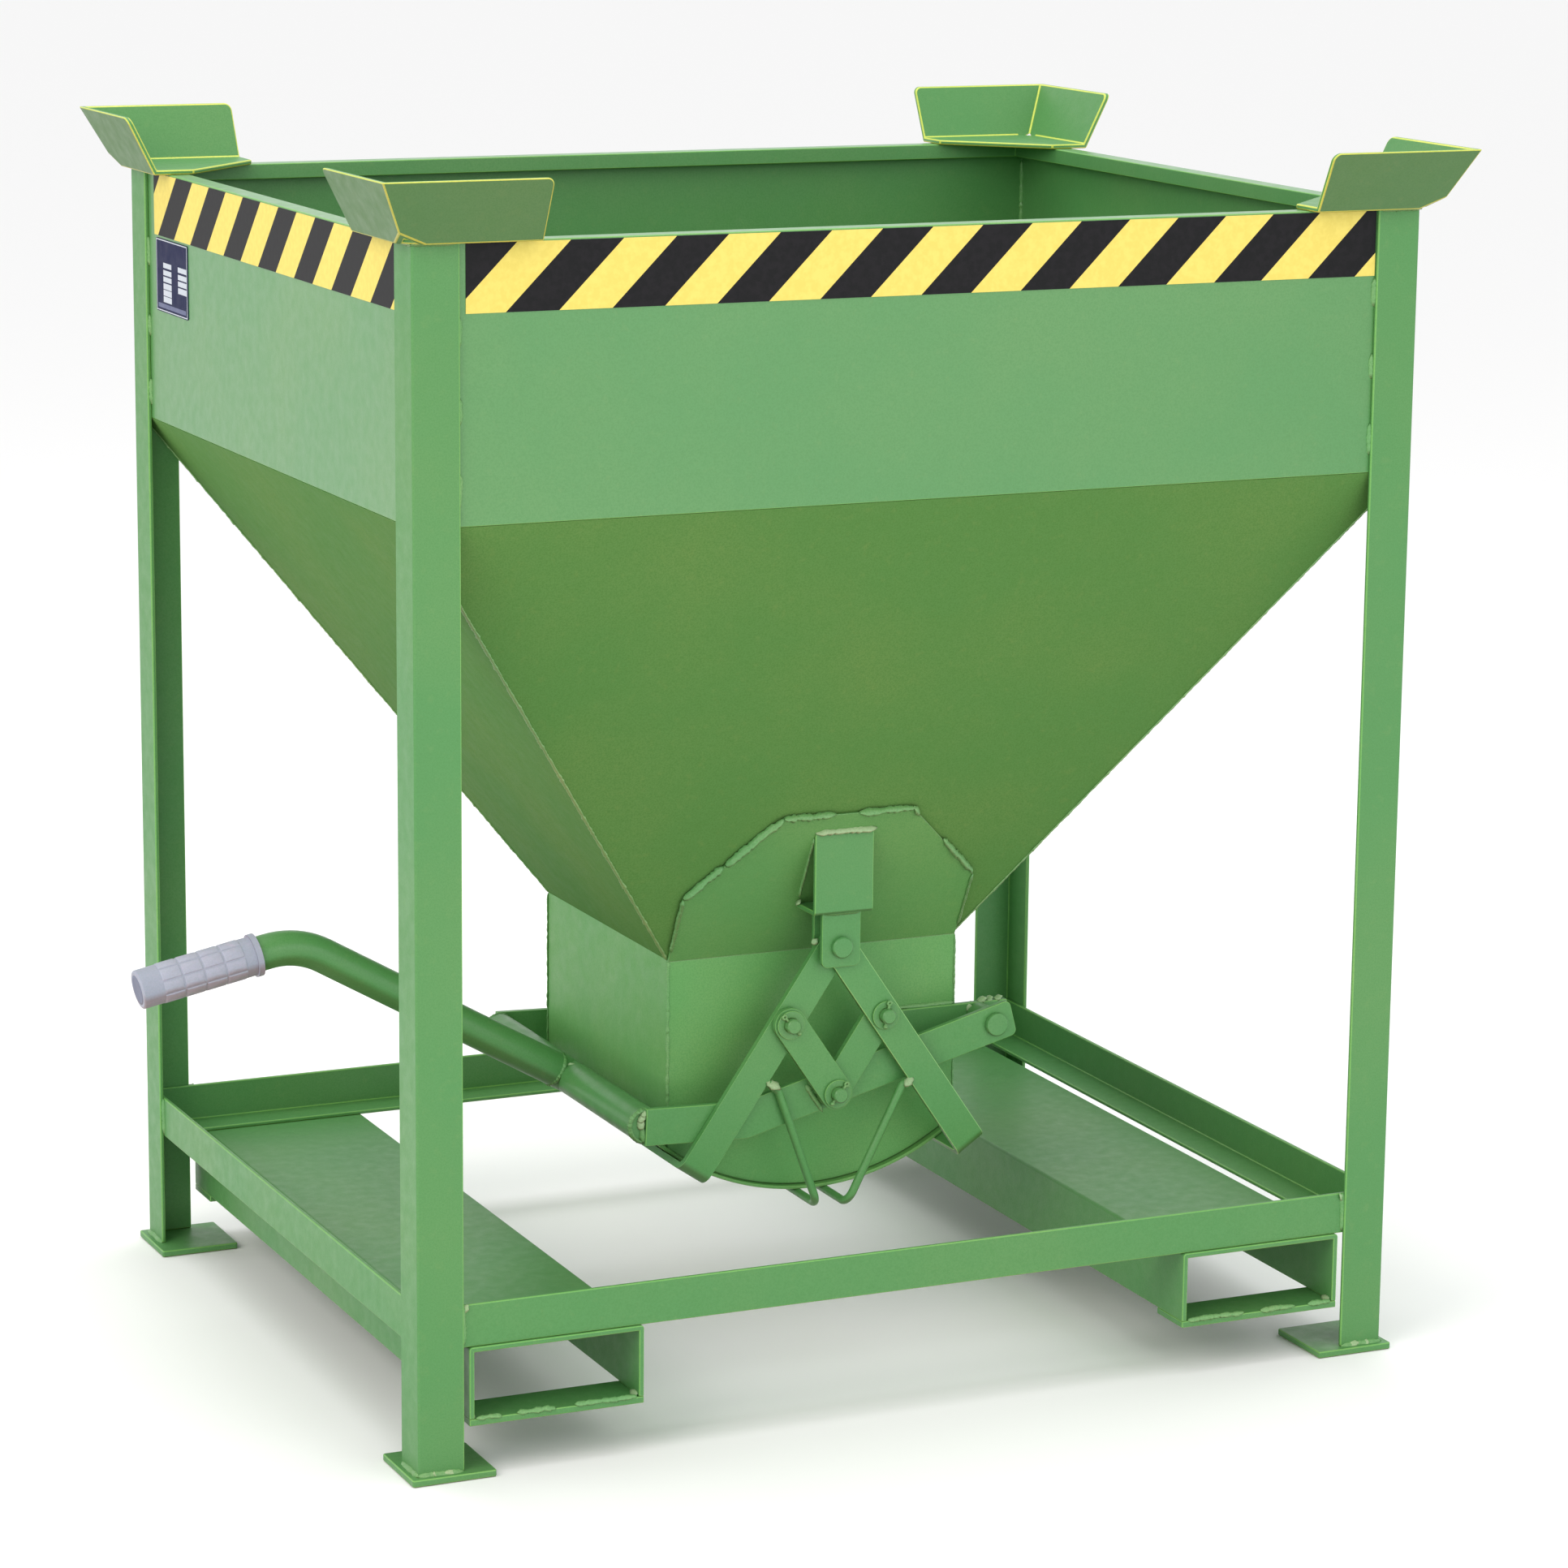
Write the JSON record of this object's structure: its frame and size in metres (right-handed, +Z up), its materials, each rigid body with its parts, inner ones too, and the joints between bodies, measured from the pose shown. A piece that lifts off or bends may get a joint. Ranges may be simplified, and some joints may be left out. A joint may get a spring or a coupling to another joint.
{
  "type": "stackable silo container",
  "caption": "Square hopper container on four posts with stacking cups and fork pockets; a hand lever opens a double clam-shell outlet under its spout.",
  "frame": {"origin": "on the floor, midway between the four posts", "axes": "+X to the right seen from the front, +Y to the back, +Z up; the lever handle points to -X"},
  "size_m": [1.4561, 1.1, 1.45],
  "materials": {
    "green_paint": "satin paint on steel",
    "closure_paint": "satin paint on steel",
    "zinc_steel": "painted over with the frame, worn at the edges",
    "warning_tape": "printed film with black slanting stripes",
    "plate_ink": "printed film",
    "grip_plastic": "moulded soft plastic"
  },
  "bodies": {
    "container": {"bearing_plate_front": "green_paint", "bearing_plate_rear": "green_paint", "foot_front_left": "green_paint", "foot_front_right": "green_paint", "foot_rear_left": "green_paint", "foot_rear_right": "green_paint", "fork_pocket_left": "green_paint", "fork_pocket_right": "green_paint", "fork_pocket_straps": "green_paint", "hopper_box": "green_paint", "hopper_funnel": "green_paint", "lever_bolts": "zinc_steel", "lever_bosses": "green_paint", "lever_support_front": "green_paint", "lever_support_rear": "green_paint", "pivot_bracket_front": "green_paint", "pivot_bracket_rear": "green_paint", "pivot_lugs": "green_paint", "pivot_pins": "zinc_steel", "pivot_split_pins": "zinc_steel", "pivot_washers": "zinc_steel", "post_front_left": "green_paint", "post_front_right": "green_paint", "post_rear_left": "green_paint", "post_rear_right": "green_paint", "rail_front": "green_paint", "rail_left": "green_paint", "rail_rear": "green_paint", "rail_right": "green_paint", "rating_plate": "plate_ink", "spout_side_walls": "green_paint", "stacking_cup_front_left": "green_paint", "stacking_cup_front_right": "green_paint", "stacking_cup_rear_left": "green_paint", "stacking_cup_rear_right": "green_paint", "warning_tape_front": "warning_tape", "warning_tape_left": "warning_tape", "warning_tape_rear": "warning_tape", "warning_tape_right": "warning_tape"},
    "lever": {"lever_bar_front": "closure_paint", "lever_bar_rear": "closure_paint", "cross_tube": "closure_paint", "handle_tube": "closure_paint", "handle_grip": "grip_plastic"},
    "left_jaw": {"left_shell": "closure_paint", "left_strap": "closure_paint", "left_rod": "closure_paint", "left_link_pins": "zinc_steel", "left_pin_washers": "zinc_steel", "left_pin_split_pins": "zinc_steel"},
    "right_jaw": {"right_shell": "closure_paint", "right_strap": "closure_paint", "right_rod": "closure_paint"},
    "left_link_pair": {"left_links": "closure_paint"},
    "right_link_pair": {"right_links": "closure_paint", "right_link_pins": "zinc_steel", "bottom_link_pins": "zinc_steel", "right_pin_washers": "zinc_steel", "right_pin_split_pins": "zinc_steel"}
  },
  "joints": [
    {"name": "lever_hinge", "type": "hinge", "parent": "container", "child": "lever", "pos_m": [0.2185, 0, 0.384], "axis": [0, 1, 0], "range_deg": [0, 22]},
    {"name": "left_jaw_hinge", "type": "hinge", "parent": "container", "child": "left_jaw", "pos_m": [0, 0, 0.5055], "axis": [0, 1, 0], "range_deg": [0, 30.8]},
    {"name": "right_jaw_hinge", "type": "hinge", "parent": "container", "child": "right_jaw", "pos_m": [0, 0, 0.5055], "axis": [0, 1, 0], "range_deg": [-30.8, 0]},
    {"name": "left_link_hinge", "type": "hinge", "parent": "left_jaw", "child": "left_link_pair", "pos_m": [-0.06215, 0, 0.41474], "axis": [0, 1, 0], "range_deg": [-61.6, 0]},
    {"name": "right_link_hinge", "type": "hinge", "parent": "right_jaw", "child": "right_link_pair", "pos_m": [0.06215, 0, 0.41474], "axis": [0, 1, 0], "range_deg": [0, 61.6]}
  ],
  "couplings": [
    {"joint": "left_jaw_hinge", "follows": "lever_hinge", "ratio": 1.4},
    {"joint": "right_jaw_hinge", "follows": "lever_hinge", "ratio": -1.4},
    {"joint": "left_link_hinge", "follows": "lever_hinge", "ratio": -2.8},
    {"joint": "right_link_hinge", "follows": "lever_hinge", "ratio": 2.8}
  ]
}
